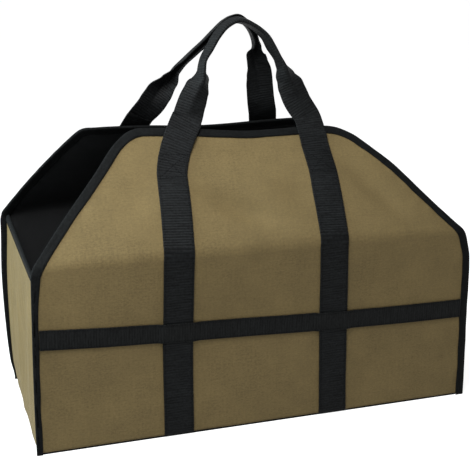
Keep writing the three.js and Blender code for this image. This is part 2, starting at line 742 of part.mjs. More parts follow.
function makeEndsAndBase() {
  const endRows = 9;
  const cornerRows = 4;
  const floorRows = 10;
  const underTape = endBindingWidth - edgeAllowance;
  const wall = (sign) => evenly(endRows, (climb) => (share) => {
    const low = floorHeight(share) + floorCornerRadius;
    const tapeEdge = (endTopAt(share) - underTape - low) * (endRows / (endRows - 1));
    const height = climb < 1 ? low + climb * tapeEdge : endTopAt(share);
    return new THREE.Vector3(sign * endStand(sign, share, height), endDepthAt(share, height), height);
  });
  const corner = (sign) => evenly(cornerRows, (part) => (share) => {
    const angle = (part * Math.PI) / 2;
    const low = floorHeight(share) + floorCornerRadius;
    const centre = endStand(sign, share, low) - floorCornerRadius;
    return new THREE.Vector3(
      sign * (centre + floorCornerRadius * Math.sin(angle)),
      endDepthAt(share, low),
      low - floorCornerRadius * Math.cos(angle),
    );
  });
  const floorEnd = (sign, share) => {
    return sign * (endStand(sign, share, floorHeight(share) + floorCornerRadius) - floorCornerRadius);
  };
  const floor = evenly(floorRows, (part) => (share) => {
    const across = mix(floorEnd(-1, share), floorEnd(1, share), part);
    return new THREE.Vector3(across, endDepthAt(share, 0), floorHeight(share));
  });
  const lines = [
    ...wall(-1).reverse(), ...corner(-1).reverse().slice(1, -1), ...floor,
    ...corner(1).slice(1, -1), ...wall(1),
  ];
  const middle = lines.map((line) => depthColumns.map((share) => line(share)));
  const face = (outside) => middle.map((row, j) => row.map((point, i) => {
    const along = middle[Math.min(j + 1, middle.length - 1)][i].clone().sub(middle[Math.max(j - 1, 0)][i]);
    const across = row[Math.min(i + 1, row.length - 1)].clone().sub(row[Math.max(i - 1, 0)]);
    return point.clone().addScaledVector(along.cross(across).normalize(), outside);
  }));
  return named("ends_and_base", sheetBetween(face(-clothThickness / 2), face(clothThickness / 2)), canvas);
}

// The short tape folded over an end's top edge
function makeEndBinding(name, sign) {
  const rings = depthColumns.map((share) => {
    const top = endTopAt(share);
    return tapeSection(endBindingWidth).map(([below, outside]) => {
      const height = top - below;
      const reachHeight = Math.max(top + edgeAllowance, height);
      return new THREE.Vector3(
        sign * (endStand(sign, share, height) + outside),
        endDepthAt(share, reachHeight),
        height,
      );
    });
  });
  return named(`${name}_end_binding`, loftRings(rings), tape);
}

// The assembly
function makeSide(side) {
  const group = new THREE.Group();
  group.add(makePanel(side), makeEdgeBinding(side), makeHemBinding(side));
  group.add(makeCarryStrap(side), makeBand(side));
  return group;
}

const carrier = new THREE.Group();
const front = makeSide(frontSide);
const back = makeSide(backSide);
back.rotation.z = Math.PI;
carrier.add(front, back, makeEndsAndBase(), makeEndBinding("left", -1), makeEndBinding("right", 1));

export default carrier;
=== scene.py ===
"""The looks of a canvas log carrier: two six-sided panels with leaning flaps, a strip of canvas
for both ends and the base, black tape on every edge, and webbing straps with folded handles.
Sizes are in millimetres until a mesh is made, which is in metres."""

import math

import bpy
import numpy as np
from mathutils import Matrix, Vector


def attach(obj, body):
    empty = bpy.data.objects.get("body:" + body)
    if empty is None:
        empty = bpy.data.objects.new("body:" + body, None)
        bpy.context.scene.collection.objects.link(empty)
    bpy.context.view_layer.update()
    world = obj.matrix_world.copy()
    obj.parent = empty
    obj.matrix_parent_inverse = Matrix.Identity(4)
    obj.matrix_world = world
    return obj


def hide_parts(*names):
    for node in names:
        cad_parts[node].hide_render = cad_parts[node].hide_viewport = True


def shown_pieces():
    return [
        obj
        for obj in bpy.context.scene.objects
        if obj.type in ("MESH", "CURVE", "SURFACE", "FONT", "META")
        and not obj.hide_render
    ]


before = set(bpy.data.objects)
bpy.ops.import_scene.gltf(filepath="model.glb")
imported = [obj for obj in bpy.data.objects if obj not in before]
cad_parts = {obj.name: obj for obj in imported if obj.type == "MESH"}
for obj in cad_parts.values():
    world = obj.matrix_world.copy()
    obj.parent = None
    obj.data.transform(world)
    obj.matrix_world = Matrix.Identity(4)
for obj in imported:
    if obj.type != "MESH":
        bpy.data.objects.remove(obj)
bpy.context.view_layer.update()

# Sizes of the bag
CARRIER_WIDTH = 600
BODY_DEPTH = 258
PANEL_HEIGHT = 411
FLAP_TOP_INSET = 97
FLAP_TOP_WIDTH = 314
FOLD_RADIUS = 18
FOLD_RISE = 7
SHOULDER_RADIUS = 28
TOP_CORNER_RADIUS = 38
SOFT_CORNER_RADIUS = 62
SHARP_CORNER_RADIUS = 22
OUTLINE_SWAY = 20
TOP_SAG = 6
CLOTH_THICKNESS = 1.5
BELLY_DEPTH = 9
FLAP_PUFF = 5
DENT_DEPTH = 5
SEAM_INSET_AT_SHOULDER = 5
BACK_SEAM_INSET = 9
SEAM_INSET_AT_FLOOR = 1
END_TOP_DROP = 12
FLOOR_CORNER_RADIUS = 4
CREASE_DEPTH = 4

# Sizes of the tape, the webbing and the thread
TAPE_THICKNESS = 1
BINDING_WIDTH = 12
END_BINDING_WIDTH = 9
TAPE_PULL = 4
WEBBING_WIDTH = 39.5
WEBBING_THICKNESS = 1.8
STRAP_SPACING = 215
STRAP_SHIFT = 7.7
BAND_WIDTH = 26
BAND_THICKNESS = 1.5
BAND_HEIGHT = 141
BAND_SAG = 4
HANDLE_RISE = 142
GRIP_TIP_GAP = 0.6
CLEAR_OF_FLAP = 12
STITCH_PITCH = 3.6
STITCH_LENGTH = 2.9
THREAD_RADIUS = 0.32
STRAP_SEAM_INSET = 2.8
BAND_SEAM_INSET = 2.4
TAPE_SEAM_INSET = 1.9
BOX_STITCH_DROP = 38
BOX_STITCH_HEIGHT = 32
FIRST_STITCH = 4

# Small forms: the tape's ripple as height, length and start, and the cloth's slack and puckers
TAPE_RIPPLE = [(0.22, 8.5, 0), (0.18, 19, 1)]
SLACK_DEPTH = 0.35
SLACK_REACH = 60
PUCKER_DEPTH = 0.3
PUCKER_REACH = 16
END_SLACK_DEPTH = 0.8

# How finely the meshes are cut
PANEL_COLUMNS = 199
PANEL_ROWS = (80, 40, 62, 24)
WALL_ROWS = 86
FLOOR_ROWS = 50
END_COLUMNS = (16, 90)
TAPE_STATIONS = 110
BAND_STATIONS = 250
RING_STEP = 1.8

# Clearances, and what follows from the sizes
SEWN_GAP = 0.3
LAYER_GAP = 0.5
HEM_HEIGHT = 2 * TAPE_THICKNESS + 2 * SEWN_GAP
EDGE_ALLOWANCE = TAPE_THICKNESS + SEWN_GAP
PANEL_HALF_WIDTH = CARRIER_WIDTH / 2 - EDGE_ALLOWANCE
TAPE_INSIDE = CLOTH_THICKNESS / 2 + LAYER_GAP
TAPE_OUTSIDE = TAPE_INSIDE + TAPE_THICKNESS
INNER_FACE = BODY_DEPTH / 2 - CLOTH_THICKNESS / 2 - TAPE_OUTSIDE - SEWN_GAP
MM = 0.001

# What differs between the two sides, each drawn as seen from outside it. corners: left and right
# radius. edges: up, left and right. straps: foot, fold, knee and top, in half strap spacings.
# handle: across, depth, rise and fold. dents: across, up, wide, tall, turn in degrees and depth.
FRONT = {
    "name": "front",
    "shoulder": 238,
    "skew": 4,
    "top_drop": 6,
    "band_drop": 10.8,
    "corners": (TOP_CORNER_RADIUS, SOFT_CORNER_RADIUS),
    "tape_pull": TAPE_PULL,
    "edges": [
        (0, 0.05, 0.09),
        (0.2, 0.05, 0.08),
        (0.5, 0, 0.02),
        (0.85, -0.1, -0.03),
        (1, -0.13, -0.38),
        (1.3, 0.02, -0.43),
        (1.65, 0.06, -0.3),
        (1.85, 0.16, -0.64),
        (2, -0.04, -0.86),
    ],
    "strap_shift": -STRAP_SHIFT,
    "straps": [(-1.02, -1.01, -0.955, -0.72), (0.985, 0.925, 0.955, 0.92)],
    "handle": [
        (-0.61, 0.86, 0.25, 0.18),
        (-0.53, 0.8, 0.37, 0.34),
        (-0.47, 0.74, 0.46, 0.64),
        (-0.46, 0.68, 0.55, 0.92),
        (-0.44, 0.62, 0.63, 0.97),
        (-0.35, 0.55, 0.73, 0.93),
        (-0.25, 0.46, 0.84, 0.92),
        (-0.13, 0.38, 0.93, 0.92),
        (0.03, 0.33, 0.98, 0.92),
        (0.2, 0.4, 0.94, 0.92),
        (0.37, 0.5, 0.84, 0.88),
        (0.45, 0.58, 0.74, 0.85),
        (0.52, 0.64, 0.64, 0.92),
        (0.58, 0.69, 0.56, 0.82),
        (0.63, 0.74, 0.46, 0.56),
        (0.69, 0.8, 0.36, 0.25),
        (0.76, 0.86, 0.23, 0.08),
    ],
    "dents": [
        (0.56, 0.42, 0.19, 0.1, -50, 1.8),
        (-0.1, 0.34, 0.19, 0.11, -30, 2.1),
        (-0.53, 0.5, 0.16, 0.14, 30, 0.6),
        (0.19, 0.44, 0.09, 0.13, -30, 0.6),
        (0.06, 0.12, 0.2, 0.1, -6, -0.6),
        (-0.02, 0.78, 0.2, 0.16, 4, 0.4),
        (0.62, -0.25, 0.2, 0.1, -12, 0.35),
        (0.55, -0.76, 0.2, 0.12, 22, 0.5),
        (-0.1, -0.3, 0.14, 0.13, 12, 0.35),
        (-0.72, -0.75, 0.13, 0.14, 35, 0.5),
        (-0.2, -0.5, 0.8, 0.3, 0, 0.9),
    ],
}
BACK = {
    "name": "back",
    "shoulder": 250,
    "skew": 28,
    "top_drop": 0,
    "band_drop": 0,
    "corners": (TOP_CORNER_RADIUS, SHARP_CORNER_RADIUS),
    "tape_pull": 0,
    "edges": [
        (0, -0.05, -0.12),
        (0.12, 0, 0.13),
        (0.35, 0.1, 0.31),
        (0.65, 0.12, 0.38),
        (0.95, 0.05, 0.25),
        (1.3, 0, 0.37),
        (1.65, 0, 0.56),
        (2, 0, 0.79),
    ],
    "strap_shift": STRAP_SHIFT,
    "straps": [(-1, -0.97, -0.95, -0.86), (1, 0.98, 0.97, 0.84)],
    "handle": [
        (-0.46, 0.86, 0.2, 0.05),
        (-0.43, 0.79, 0.36, 0.12),
        (-0.41, 0.73, 0.48, 0.25),
        (-0.37, 0.67, 0.59, 0.48),
        (-0.34, 0.61, 0.67, 0.55),
        (-0.35, 0.56, 0.74, 0.88),
        (-0.33, 0.51, 0.81, 0.97),
        (-0.27, 0.43, 0.9, 0.95),
        (-0.18, 0.37, 0.97, 0.93),
        (-0.06, 0.33, 1.02, 0.92),
        (0.07, 0.38, 0.98, 0.92),
        (0.2, 0.47, 0.89, 0.92),
        (0.33, 0.55, 0.79, 0.92),
        (0.45, 0.61, 0.71, 0.93),
        (0.58, 0.67, 0.62, 0.95),
        (0.69, 0.72, 0.54, 0.88),
        (0.78, 0.77, 0.44, 0.62),
        (0.91, 0.82, 0.32, 0.27),
        (1, 0.87, 0.22, 0.1),
    ],
    "dents": [
        (-0.6, 0.38, 0.2, 0.2, -28, 0.7),
        (0.66, 0.36, 0.2, 0.2, 34, 0.7),
        (0.04, 0.5, 0.18, 0.3, -8, 0.4),
    ],
}

# The end panels' creases: along, wide, middle height, tall and depth
END_CREASES = [
    (-0.62, 0.13, 0.45, 0.34, 0.8),
    (-0.25, 0.16, 0.6, 0.3, -0.7),
    (0.1, 0.13, 0.4, 0.36, 0.9),
    (0.45, 0.16, 0.55, 0.3, -0.7),
    (0.75, 0.1, 0.45, 0.34, 0.6),
]


# Small helpers
def mix(low, high, share):
    return low + (high - low) * share


def smooth(value, low, high):
    share = np.clip((value - low) / (high - low), 0, 1)
    return share * share * (3 - 2 * share)


def unit(vectors):
    return vectors / np.linalg.norm(vectors, axis=-1, keepdims=True)


def joined(*coordinates):
    """Coordinates over one grid, as one array of points."""
    return np.stack(np.broadcast_arrays(*coordinates), -1)


def sampled(at, places, rows):
    """What rows of three numbers, one at each of the places, come to in between."""
    return np.stack([np.interp(at, places, rows[:, k]) for k in range(3)], -1)


def run_along(points):
    """The distance along a line of points, from its start to each of them."""
    steps = np.linalg.norm(np.diff(points, axis=0), axis=1)
    return np.concatenate([[0], np.cumsum(steps)])


def through(places, values, at):
    """A smooth line through the rows of a short table."""
    places, values = np.array(places, float), np.array(values, float)
    inner = (values[2:] - values[:-2]) / (places[2:] - places[:-2])
    slopes = np.concatenate([[0], inner, [0]])
    row = np.clip(np.searchsorted(places, at, side="right") - 1, 0, len(places) - 2)
    width = places[row + 1] - places[row]
    share = np.clip((at - places[row]) / width, 0, 1)
    rise = values[row + 1] - values[row]
    start, end = slopes[row] * width, slopes[row + 1] * width
    bend = 3 * rise - 2 * start - end
    return values[row] + share * (start + share * (bend + share * (start + end - 2 * rise)))


def waves(seed, count, shortest, longest):
    """A soft random relief, as a sum of sine waves with lengths between the two given."""
    rng = np.random.default_rng(seed)
    turn = rng.uniform(0, math.tau, count)
    length = rng.uniform(shortest, longest, count)
    phase = rng.uniform(0, math.tau, count)

    def height(across, along):
        total = 0
        for angle, size, start in zip(turn, length, phase):
            way = across * math.cos(angle) + along * math.sin(angle)
            total = total + np.sin(way * math.tau / size + start)
        return total / math.sqrt(count)

    return height


# The shape of a side
def flap_of(side):
    length = PANEL_HEIGHT - side["shoulder"]
    return length, math.asin(FLAP_TOP_INSET / length)


def profile(side, run, rise=0):
    """Lean, inward reach and height of the bent line at a run up the cloth from the hem. Where the
    cloth folds higher up, rise says by how much."""
    flap_lean = flap_of(side)[1]
    arc_half = FOLD_RADIUS * flap_lean / 2
    fold_start = side["shoulder"] - HEM_HEIGHT - arc_half + rise
    past = run - fold_start
    lean = np.clip(past / FOLD_RADIUS, 0, flap_lean)
    straight = np.maximum(past - 2 * arc_half, 0)
    inward = FOLD_RADIUS * (1 - np.cos(lean)) + straight * np.sin(lean)
    height = HEM_HEIGHT + np.minimum(run, fold_start)
    height = height + FOLD_RADIUS * np.sin(lean) + straight * np.cos(lean)
    return lean, inward, height


def outline(side):
    """Where the outline's corners are, in runs, and how its slanted edges lean."""
    flap_length = flap_of(side)[0]
    shoulder = side["shoulder"] - HEM_HEIGHT
    slant = math.atan2(PANEL_HALF_WIDTH - FLAP_TOP_WIDTH / 2, flap_length)
    return {
        "shoulder": shoulder,
        "flap_length": flap_length,
        "top": shoulder + flap_length,
        "slant": slant,
        "shoulder_tangent": SHOULDER_RADIUS * math.tan(slant / 2),
    }


def top_corner(side, hand):
    """A top corner's radius, how far the straight top reaches, and the run where it starts."""
    edge = outline(side)
    radius = side["corners"][max(hand, 0)]
    tangent = radius * math.tan((math.pi / 2 - edge["slant"]) / 2)
    return radius, FLAP_TOP_WIDTH / 2 - tangent, edge["top"] - tangent * math.cos(edge["slant"])


def climbed(side, run):
    """How far a run is up the lower part and up the flap, each from 0 to 1. Their sum is a place in
    the tables: 0 at the hem, 1 at the shoulder and 2 at the top edge."""
    edge = outline(side)
    upper = np.clip((run - edge["shoulder"]) / edge["flap_length"], 0, 1)
    return np.clip(run / edge["shoulder"], 0, 1), upper


def half_width(side, run, hand):
    """The cloth's width from its middle to the left edge, -1, or the right edge, 1, at a run."""
    edge = outline(side)
    radius, flat, corner_start = top_corner(side, hand)
    run = np.asarray(run, float)
    climb = run - (edge["shoulder"] - edge["shoulder_tangent"])
    round_shoulder = np.sqrt(np.maximum(SHOULDER_RADIUS**2 - climb**2, 0))
    below = np.clip(run - (edge["top"] - radius), 0, radius)
    slanted = PANEL_HALF_WIDTH - (run - edge["shoulder"]) * math.tan(edge["slant"])
    slanted_from = edge["shoulder"] + edge["shoulder_tangent"] * math.cos(edge["slant"])
    half = np.select(
        [climb <= 0, run < slanted_from, run <= corner_start],
        [PANEL_HALF_WIDTH + 0 * run, PANEL_HALF_WIDTH - SHOULDER_RADIUS + round_shoulder, slanted],
        flat + np.sqrt(radius**2 - below**2),
    )
    up, *outs = zip(*side["edges"])
    return half + OUTLINE_SWAY * through(up, outs[max(hand, 0)], sum(climbed(side, run)))


def width_at(side, across, run):
    """The width from the middle to the edge on the side where a point lies."""
    run = np.clip(run, 0, outline(side)["top"])
    return np.where(across < 0, half_width(side, run, -1), half_width(side, run, 1))


def bulge(side, across, run):
    """How far the cloth stands out from the bent line: belly, puff, dents and small slack."""
    edge = outline(side)
    half = width_at(side, across, run)
    share = np.clip(np.abs(across) / half, 0, 1)
    edge_fade = 1 - share**3
    lower, upper = climbed(side, run)
    out = BELLY_DEPTH * edge_fade * lower**1.7 * (1 - smooth(upper, 0, 0.8))
    out = out + FLAP_PUFF * edge_fade * np.sin(np.pi * upper) ** 2
    for at, up_at, wide, tall, turn, depth in side["dents"]:
        span = edge["flap_length"] if up_at > 0 else edge["shoulder"]
        angle = math.radians(turn)
        right = across - at * PANEL_HALF_WIDTH
        up = run - edge["shoulder"] - up_at * span
        long = (right * math.cos(angle) + up * math.sin(angle)) / (wide * PANEL_HALF_WIDTH)
        short = (up * math.cos(angle) - right * math.sin(angle)) / (tall * span)
        out = out - DENT_DEPTH * depth * edge_fade * np.exp(-(long**2) - short**2)
    from_edge = half - np.abs(across)
    seam_fade = np.clip(from_edge / SLACK_REACH, 0, 1)
    slack = side["slack"](across, run) * SLACK_DEPTH * seam_fade
    pucker_fade = np.exp(-(((from_edge - BINDING_WIDTH) / PUCKER_REACH) ** 2))
    return out + slack + side["pucker"](across, run) * PUCKER_DEPTH * pucker_fade


for side, seed in ((FRONT, 3), (BACK, 5)):
    side["slack"] = waves(seed, 9, 55, 150)
    side["pucker"] = waves(seed + 1, 7, 18, 34)


def cloth_point(side, across, run):
    """A point of the cloth's middle layer, on the front side's drawing."""
    across, run = np.broadcast_arrays(np.asarray(across, float), np.asarray(run, float))
    edge = outline(side)
    flap_share = np.maximum((run - edge["shoulder"]) / edge["flap_length"], 0)
    sideways = side["skew"] * np.sin(np.pi / 2 * np.minimum(flap_share, 1))
    sag = TOP_SAG * np.minimum(flap_share, 1) ** 3 * np.exp(-((across / (STRAP_SPACING / 3)) ** 2))
    dropped = run - side["top_drop"] * flap_share * across / (FLAP_TOP_WIDTH / 2) - sag
    rise = FOLD_RISE * (1 - np.minimum(np.abs(across) / PANEL_HALF_WIDTH, 1) ** 6)
    lean, inward, height = profile(side, dropped, rise)
    out = bulge(side, across, run)
    depth = -BODY_DEPTH / 2 + CLOTH_THICKNESS / 2 + inward - out * np.cos(lean)
    return joined(across + sideways, depth, height + out * np.sin(lean))


def cloth_normal(side, across, run):
    step = 0.5
    right = cloth_point(side, across + step, run) - cloth_point(side, across - step, run)
    up = cloth_point(side, across, run + step) - cloth_point(side, across, run - step)
    return unit(np.cross(right, up))


def over_cloth(side, across, run, outside):
    across, run = np.broadcast_arrays(np.asarray(across, float), np.asarray(run, float))
    lift = np.asarray(outside, float)[..., None] * cloth_normal(side, across, run)
    return cloth_point(side, across, run) + lift


# Making meshes
def turned(side, points):
    """The back is the same drawing turned half round."""
    return points * np.array([-1, -1, 1]) if side is BACK else points


def new_object(name, points, faces, cloth, materials, slots=None):
    """An object from points in mm, with the flat cloth's coordinates kept in metres."""
    mesh = bpy.data.meshes.new(name)
    mesh.from_pydata((np.asarray(points).reshape(-1, 3) * MM).tolist(), [], faces)
    mesh.polygons.foreach_set("use_smooth", [True] * len(mesh.polygons))
    for material in materials:
        mesh.materials.append(material)
    if slots is not None:
        mesh.polygons.foreach_set("material_index", slots)
    flat = np.zeros((len(mesh.vertices), 3), np.float32)
    flat[:, :2] = np.asarray(cloth, np.float32).reshape(-1, 2) * MM
    attribute = mesh.attributes.new("cloth", "FLOAT_VECTOR", "POINT")
    attribute.data.foreach_set("vector", flat.ravel())
    mesh.update()
    made = bpy.data.objects.new(name, mesh)
    bpy.context.collection.objects.link(made)
    return made


def shell(name, outer, inner, cloth, materials):
    """A closed sheet between two grids. Its faces have the first material outside and on the rim,
    and the second inside."""
    rows, columns = outer.shape[:2]
    under = rows * columns
    index = np.arange(under).reshape(rows, columns)
    front = joined(index[:-1, :-1], index[:-1, 1:], index[1:, 1:], index[1:, :-1]).reshape(-1, 4)
    back = front[:, ::-1] + under
    rim = np.concatenate([index[0], index[1:, -1], index[-1, -2::-1], index[-2:0:-1, 0]])
    following = np.roll(rim, -1)
    side_faces = joined(rim, rim + under, following + under, following)
    faces = np.concatenate([front, back, side_faces])
    slots = np.zeros(len(faces), np.int32)
    slots[len(front):len(front) + len(back)] = 1
    points, flat = np.stack([outer, inner]), np.stack([cloth, cloth])
    return new_object(name, points, faces.tolist(), flat, materials, slots)


def tube_faces(rings, size):
    """The faces of a tube of rings, and of the caps at its ends."""
    index = np.arange(rings * size).reshape(rings, size)
    following = np.roll(index, -1, axis=1)
    sides = joined(index[:-1], following[:-1], following[1:], index[1:]).reshape(-1, 4)
    return sides, [index[0][::-1].tolist(), index[-1].tolist()]


def loft(name, rings, cloth, materials):
    """A closed body along rings of points, capped at both ends."""
    sides, caps = tube_faces(*rings.shape[:2])
    return new_object(name, rings, sides.tolist() + caps, cloth, materials)


def stitches(name, centres, along, outward, material):
    """One mesh with a short raised stitch of thread at each centre."""
    centres, along, outward = (np.asarray(part, float) for part in (centres, along, outward))
    along = unit(along)
    outward = unit(outward - (outward * along).sum(-1, keepdims=True) * along)
    beside = np.cross(along, outward)
    half = STITCH_LENGTH / 2
    # Along and rise in millimetres, and width in thread radii
    shape = np.array([
        (-half, -0.3, 0.5),
        (-half * 0.72, 0.08, 0.95),
        (0, 0.2, 1),
        (half * 0.72, 0.08, 0.95),
        (half, -0.3, 0.5),
    ])
    sides = 6
    angle = np.arange(sides) * math.tau / sides
    place, rise, width = (shape[:, k][None, :, None, None] for k in range(3))
    centres, along, outward, beside = (
        part[:, None, None, :] for part in (centres, along, outward, beside)
    )
    round_it = np.cos(angle)[:, None] * beside + np.sin(angle)[:, None] * outward
    points = centres + place * along + rise * outward + THREAD_RADIUS * width * round_it
    quads, caps = tube_faces(len(shape), sides)
    starts = np.arange(len(centres)) * len(shape) * sides
    faces = (quads[None] + starts[:, None, None]).reshape(-1, 4).tolist()
    for start in starts.tolist():
        faces += [[start + corner for corner in cap] for cap in caps]
    cloth = np.tile(joined(angle, shape[:, :1]), (len(centres), 1, 1, 1))
    return new_object(name, points, faces, cloth, [material])


def spaced(line, pitch):
    """Centres and directions at an even pitch along a line of points."""
    run = run_along(line)
    at = np.arange(pitch / 2, run[-1], pitch)
    along = sampled(at + 0.5, run, line) - sampled(at - 0.5, run, line)
    return at / run[-1], sampled(at, run, line), along


class Thread:
    """Gathers the stitches of one piece and makes them as one mesh."""

    def __init__(self):
        self.centres, self.along, self.outward = [], [], []

    def sew(self, line, normals):
        share, centres, along = spaced(line, STITCH_PITCH)
        self.centres.append(centres)
        self.along.append(along)
        self.outward.append(sampled(share, np.linspace(0, 1, len(line)), normals))

    def sew_on(self, side, across, run, outside, face=1):
        line = over_cloth(side, across, run, outside)
        self.sew(turned(side, line), face * turned(side, cloth_normal(side, across, run)))

    def make(self, name, slot):
        parts = (np.concatenate(part) for part in (self.centres, self.along, self.outward))
        placed(stitches(name, *parts, THREAD), slot)


# Materials
def new_material(name):
    material = bpy.data.materials.new(name)
    material.use_nodes = True
    tree = material.node_tree
    shader = tree.nodes["Principled BSDF"]
    return material, tree, shader


def node(tree, kind, **inputs):
    made = tree.nodes.new(kind)
    for key, value in inputs.items():
        made.inputs[key].default_value = value
    return made


def maths(tree, operation, *values, clamp=False):
    made = tree.nodes.new("ShaderNodeMath")
    made.operation = operation
    made.use_clamp = clamp
    for socket, value in zip(made.inputs, values):
        if hasattr(value, "links"):
            tree.links.new(value, socket)
        else:
            socket.default_value = value
    return made.outputs[0]


def flat_coordinates(tree):
    """The flat cloth's coordinates in metres, as separate sockets and as one vector."""
    source = tree.nodes.new("ShaderNodeAttribute")
    source.attribute_name = "cloth"
    parts = tree.nodes.new("ShaderNodeSeparateXYZ")
    tree.links.new(source.outputs["Vector"], parts.inputs[0])
    return parts.outputs[0], parts.outputs[1], source.outputs["Vector"]


def noise_at(tree, vector, scale, stretch=(1, 1, 1), detail=2.0, roughness=0.5):
    """Noise over a vector, centred on 0 and about 1 from lowest to highest."""
    mapping = tree.nodes.new("ShaderNodeVectorMath")
    mapping.operation = "MULTIPLY"
    mapping.inputs[1].default_value = [scale * share for share in stretch]
    tree.links.new(vector, mapping.inputs[0])
    texture = node(tree, "ShaderNodeTexNoise", Scale=1.0, Detail=detail, Roughness=roughness)
    tree.links.new(mapping.outputs[0], texture.inputs["Vector"])
    return maths(tree, "SUBTRACT", texture.outputs[0], 0.5)


def wave(tree, coordinate, pitch):
    return maths(tree, "SINE", maths(tree, "MULTIPLY", coordinate, math.pi / pitch))


def ribs(tree, coordinate, pitch):
    """Rounded ribs along a coordinate, 0 in the grooves and 1 on top."""
    return maths(tree, "ABSOLUTE", wave(tree, coordinate, pitch))


def woven(tree, across, along, pitch):
    """A plain weave's relief: warp and weft threads change places from square to square."""
    warp, weft = ribs(tree, across, pitch), ribs(tree, along, pitch)
    over = maths(tree, "MULTIPLY", wave(tree, across, pitch), wave(tree, along, pitch))
    weft_share = maths(tree, "MULTIPLY_ADD", over, 1.6, 0.5, clamp=True)
    return maths(tree, "MULTIPLY_ADD", maths(tree, "SUBTRACT", weft, warp), weft_share, warp)


def centred(tree, relief):
    """Ribs or a weave, centred on 0 by the mean height of a rounded rib."""
    return maths(tree, "SUBTRACT", relief, 0.64)


def total(tree, parts):
    """The sum of (socket, factor) pairs."""
    result = 0.0
    for socket, factor in parts:
        result = maths(tree, "MULTIPLY_ADD", socket, factor, result)
    return result


def coloured(tree, shader, base, parts, least=None):
    """A base colour times 1 plus the sum of the parts, and where a least share of it is given, no
    darker than that."""
    brightness = maths(tree, "ADD", total(tree, parts), 1.0)
    if least is not None:
        brightness = maths(tree, "MAXIMUM", brightness, least)
    made = tree.nodes.new("ShaderNodeVectorMath")
    made.operation = "SCALE"
    made.inputs[0].default_value = base
    tree.links.new(brightness, made.inputs["Scale"])
    tree.links.new(made.outputs[0], shader.inputs["Base Color"])


def roughened(tree, shader, middle, parts):
    rough = maths(tree, "ADD", total(tree, parts), middle, clamp=True)
    tree.links.new(rough, shader.inputs["Roughness"])


def bumped(tree, shader, parts, distance, strength):
    bump = node(tree, "ShaderNodeBump", Strength=strength, Distance=distance)
    tree.links.new(total(tree, parts), bump.inputs["Height"])
    tree.links.new(bump.outputs[0], shader.inputs["Normal"])


def constants(shader, values):
    for socket, value in values.items():
        shader.inputs[socket].default_value = value


def canvas_material(name, base, roughness, weave_share, coat):
    """Woven canvas: thread relief, uneven yarns, soft blotches, flecks and faint handling marks."""
    material, tree, shader = new_material(name)
    across, along, flat = flat_coordinates(tree)
    weave = woven(tree, across, along, 0.00075)
    yarn_up = noise_at(tree, flat, 1, (900, 26, 1), 3.0, 0.6)
    yarn_over = noise_at(tree, flat, 1, (22, 800, 1), 3.0, 0.6)
    blotch = noise_at(tree, flat, 9, detail=4.0)
    cloud = noise_at(tree, flat, 34, detail=3.0)
    fleck = noise_at(tree, flat, 300, (1, 1.6, 1), 3.0, 0.6)
    grain = noise_at(tree, flat, 1500, detail=1.0)
    # The weave's relief also sets the colour: lighter on the threads' tops and darker in the gaps
    # between them, a painted shade.
    coloured(tree, shader, base, [
        (centred(tree, weave), 0.3 * weave_share),
        (yarn_up, 0.3),
        (yarn_over, 0.3),
        (blotch, 0.28),
        (cloud, 0.3),
        (fleck, 0.85),
        (grain, 0.12),
    ])
    roughened(tree, shader, roughness, [(blotch, 0.12), (weave, -0.08)])
    relief = [(weave, weave_share), (yarn_up, 0.5), (yarn_over, 0.5), (grain, 0.25)]
    bumped(tree, shader, relief, 0.00022, 0.7)
    constants(shader, {
        "Specular IOR Level": coat,
        "Sheen Weight": 0.16,
        "Sheen Roughness": 0.5,
        "Sheen Tint": (*[min(1, 2.2 * part) for part in base], 1),
    })
    return material


def webbing_material(name, base, rib_pitch, half_webbing):
    """Ribbed webbing with a tighter selvedge along both edges."""
    material, tree, shader = new_material(name)
    across, along, flat = flat_coordinates(tree)
    rib = ribs(tree, along, rib_pitch)
    yarn = ribs(tree, across, 0.0011)
    edge_at = maths(tree, "ABSOLUTE", across)
    selvedge = maths(tree, "GREATER_THAN", edge_at, half_webbing - 0.0016)
    groove = maths(tree, "COMPARE", edge_at, half_webbing - 0.0019, 0.0003)
    fuzz = noise_at(tree, flat, 1700, detail=1.0)
    fleck = noise_at(tree, flat, 330, detail=3.0, roughness=0.65)
    uneven = noise_at(tree, flat, 1, (50, 380, 1), 2.0)
    worn = noise_at(tree, flat, 24, detail=3.0)
    # The ribs and yarns are painted lighter on top and darker between them, and the groove inside
    # each selvedge is painted darker: painted shade. The selvedge strip is a little darker as well.
    coloured(tree, shader, base, [
        (centred(tree, rib), 0.6),
        (centred(tree, yarn), 0.25),
        (fuzz, 0.35),
        (fleck, 3.2),
        (uneven, 2.2),
        (worn, 0.8),
        (selvedge, -0.12),
        (groove, -0.35),
    ], 0.25)
    roughened(tree, shader, 0.62, [(worn, 0.12), (rib, -0.06)])
    relief = [(rib, 1.0), (yarn, 0.28), (fuzz, 0.3), (selvedge, 0.25), (groove, -0.6)]
    bumped(tree, shader, relief, 0.0004, 0.85)
    constants(shader, {"Specular IOR Level": 0.06, "Sheen Weight": 0.01, "Sheen Roughness": 0.4})
    return material


def tape_material(name, base):
    """Finely ribbed binding tape, worn a little lighter in places."""
    material, tree, shader = new_material(name)
    across, along, flat = flat_coordinates(tree)
    rib = ribs(tree, along, 0.0009)
    cross = ribs(tree, across, 0.0007)
    fuzz = noise_at(tree, flat, 1800, detail=1.0)
    fleck = noise_at(tree, flat, 330, detail=3.0, roughness=0.65)
    worn = noise_at(tree, flat, 60, detail=3.0)
    # The ribs are painted lighter on top and darker between them, a painted shade.
    coloured(tree, shader, base, [
        (centred(tree, rib), 0.4),
        (centred(tree, cross), 0.2),
        (fuzz, 0.3),
        (fleck, 2.6),
        (worn, 0.8),
    ], 0.3)
    roughened(tree, shader, 0.68, [(worn, 0.15)])
    bumped(tree, shader, [(rib, 0.6), (cross, 0.3), (fuzz, 0.4)], 0.0002, 0.6)
    constants(shader, {"Specular IOR Level": 0.03})
    return material


